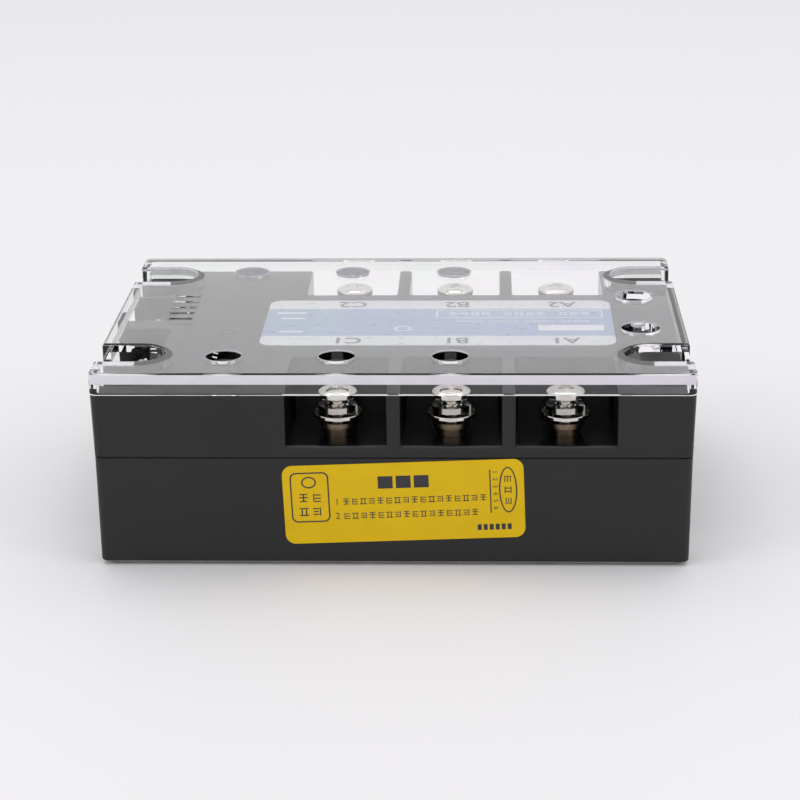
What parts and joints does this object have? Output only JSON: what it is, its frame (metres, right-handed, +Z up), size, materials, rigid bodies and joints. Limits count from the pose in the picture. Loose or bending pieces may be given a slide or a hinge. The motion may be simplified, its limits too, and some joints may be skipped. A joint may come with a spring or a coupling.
{
  "type": "solid state relay",
  "caption": "Panel-mount three-phase solid state relay: black two-piece housing on a metal base plate, screw terminals in open side pockets, clear lift-off cover.",
  "frame": {"origin": "centre of the base plate's underside", "axes": "+X along the long side, away from the control terminals; +Y towards the rear row of power terminals; +Z up, out of the panel"},
  "size_m": [0.105, 0.074, 0.0362],
  "materials": {
    "case_plastic": "moulded, fine texture",
    "cover_clear": "clear moulded plastic",
    "plate_metal": "nickel-plated, satin",
    "label_top": "printed film, blue and white",
    "label_yellow": "printed film, yellow",
    "nickel": "bright nickel plating",
    "spring_steel": "plated spring steel",
    "brass": "turned brass",
    "copper": "bare copper",
    "ceramic": "fired alumina",
    "silicon": "polished silicon",
    "board": "green solder mask",
    "spacer_plastic": "natural nylon",
    "chip_plastic": "moulded epoxy",
    "capacitor": "dipped film capacitor",
    "resistor": "lacquered",
    "led_red": "tinted clear",
    "resin": "cast epoxy"
  },
  "bodies": {
    "housing": {"base_plate": "plate_metal", "lower_case": "case_plastic", "upper_case": "case_plastic", "rating_label": "label_top", "front_label": "label_yellow", "power_posts": "brass", "control_posts": "brass", "ceramic_substrates": "ceramic", "copper_pads": "copper", "thyristor_chips": "silicon", "chip_straps": "copper", "busbars_front": "copper", "busbars_rear": "copper", "control_board": "board", "board_spacers": "spacer_plastic", "optocouplers": "chip_plastic", "snubber_capacitors": "capacitor", "resistors": "resistor", "driver_transistor": "chip_plastic", "indicator_led": "led_red", "led_leads": "nickel", "control_strips": "brass", "potting_resin": "resin", "case_screws": "nickel"},
    "cover": {"clear_cover": "cover_clear"},
    "washers_c1": {"flat_washer_c1": "nickel", "spring_washer_c1": "spring_steel"},
    "screw_c1": {"screw_c1": "nickel"},
    "washers_c2": {"flat_washer_c2": "nickel", "spring_washer_c2": "spring_steel"},
    "screw_c2": {"screw_c2": "nickel"},
    "washers_b1": {"flat_washer_b1": "nickel", "spring_washer_b1": "spring_steel"},
    "screw_b1": {"screw_b1": "nickel"},
    "washers_b2": {"flat_washer_b2": "nickel", "spring_washer_b2": "spring_steel"},
    "screw_b2": {"screw_b2": "nickel"},
    "washers_a1": {"flat_washer_a1": "nickel", "spring_washer_a1": "spring_steel"},
    "screw_a1": {"screw_a1": "nickel"},
    "washers_a2": {"flat_washer_a2": "nickel", "spring_washer_a2": "spring_steel"},
    "screw_a2": {"screw_a2": "nickel"},
    "washers_in_3": {"flat_washer_in_3": "nickel", "spring_washer_in_3": "spring_steel"},
    "screw_in_3": {"screw_in_3": "nickel"},
    "washers_in_4": {"flat_washer_in_4": "nickel", "spring_washer_in_4": "spring_steel"},
    "screw_in_4": {"screw_in_4": "nickel"}
  },
  "joints": [
    {"name": "cover_lift", "type": "slide", "parent": "housing", "child": "cover", "axis": [0, 0, 1], "range_m": [0, 0.04]},
    {"name": "lift_c1", "type": "slide", "parent": "housing", "child": "washers_c1", "axis": [0, 0, 1], "range_m": [-0.00088, 0.0021]},
    {"name": "turn_c1", "type": "hinge", "parent": "washers_c1", "child": "screw_c1", "pos_m": [-0.0098, -0.029, 0.0285], "axis": [0, 0, 1], "range_deg": [-450, 1080]},
    {"name": "lift_c2", "type": "slide", "parent": "housing", "child": "washers_c2", "axis": [0, 0, 1], "range_m": [-0.00088, 0.0021]},
    {"name": "turn_c2", "type": "hinge", "parent": "washers_c2", "child": "screw_c2", "pos_m": [-0.0098, 0.029, 0.0285], "axis": [0, 0, 1], "range_deg": [-450, 1080]},
    {"name": "lift_b1", "type": "slide", "parent": "housing", "child": "washers_b1", "axis": [0, 0, 1], "range_m": [-0.00088, 0.0021]},
    {"name": "turn_b1", "type": "hinge", "parent": "washers_b1", "child": "screw_b1", "pos_m": [0.0102, -0.029, 0.0285], "axis": [0, 0, 1], "range_deg": [-450, 1080]},
    {"name": "lift_b2", "type": "slide", "parent": "housing", "child": "washers_b2", "axis": [0, 0, 1], "range_m": [-0.00088, 0.0021]},
    {"name": "turn_b2", "type": "hinge", "parent": "washers_b2", "child": "screw_b2", "pos_m": [0.0102, 0.029, 0.0285], "axis": [0, 0, 1], "range_deg": [-450, 1080]},
    {"name": "lift_a1", "type": "slide", "parent": "housing", "child": "washers_a1", "axis": [0, 0, 1], "range_m": [-0.00088, 0.0021]},
    {"name": "turn_a1", "type": "hinge", "parent": "washers_a1", "child": "screw_a1", "pos_m": [0.0302, -0.029, 0.0285], "axis": [0, 0, 1], "range_deg": [-450, 1080]},
    {"name": "lift_a2", "type": "slide", "parent": "housing", "child": "washers_a2", "axis": [0, 0, 1], "range_m": [-0.00088, 0.0021]},
    {"name": "turn_a2", "type": "hinge", "parent": "washers_a2", "child": "screw_a2", "pos_m": [0.0302, 0.029, 0.0285], "axis": [0, 0, 1], "range_deg": [-450, 1080]},
    {"name": "lift_in_3", "type": "slide", "parent": "housing", "child": "washers_in_3", "axis": [0, 0, 1], "range_m": [-0.0005, 0.0015]},
    {"name": "turn_in_3", "type": "hinge", "parent": "washers_in_3", "child": "screw_in_3", "pos_m": [-0.0465, 0.01, 0.0285], "axis": [0, 0, 1], "range_deg": [-360, 1080]},
    {"name": "lift_in_4", "type": "slide", "parent": "housing", "child": "washers_in_4", "axis": [0, 0, 1], "range_m": [-0.0005, 0.0015]},
    {"name": "turn_in_4", "type": "hinge", "parent": "washers_in_4", "child": "screw_in_4", "pos_m": [-0.0465, -0.01, 0.0285], "axis": [0, 0, 1], "range_deg": [-360, 1080]}
  ],
  "couplings": [
    {"joint": "turn_c1", "follows": "lift_c1", "rad_per_m": 8976},
    {"joint": "turn_c2", "follows": "lift_c2", "rad_per_m": 8976},
    {"joint": "turn_b1", "follows": "lift_b1", "rad_per_m": 8976},
    {"joint": "turn_b2", "follows": "lift_b2", "rad_per_m": 8976},
    {"joint": "turn_a1", "follows": "lift_a1", "rad_per_m": 8976},
    {"joint": "turn_a2", "follows": "lift_a2", "rad_per_m": 8976},
    {"joint": "turn_in_3", "follows": "lift_in_3", "rad_per_m": 12566},
    {"joint": "turn_in_4", "follows": "lift_in_4", "rad_per_m": 12566}
  ]
}
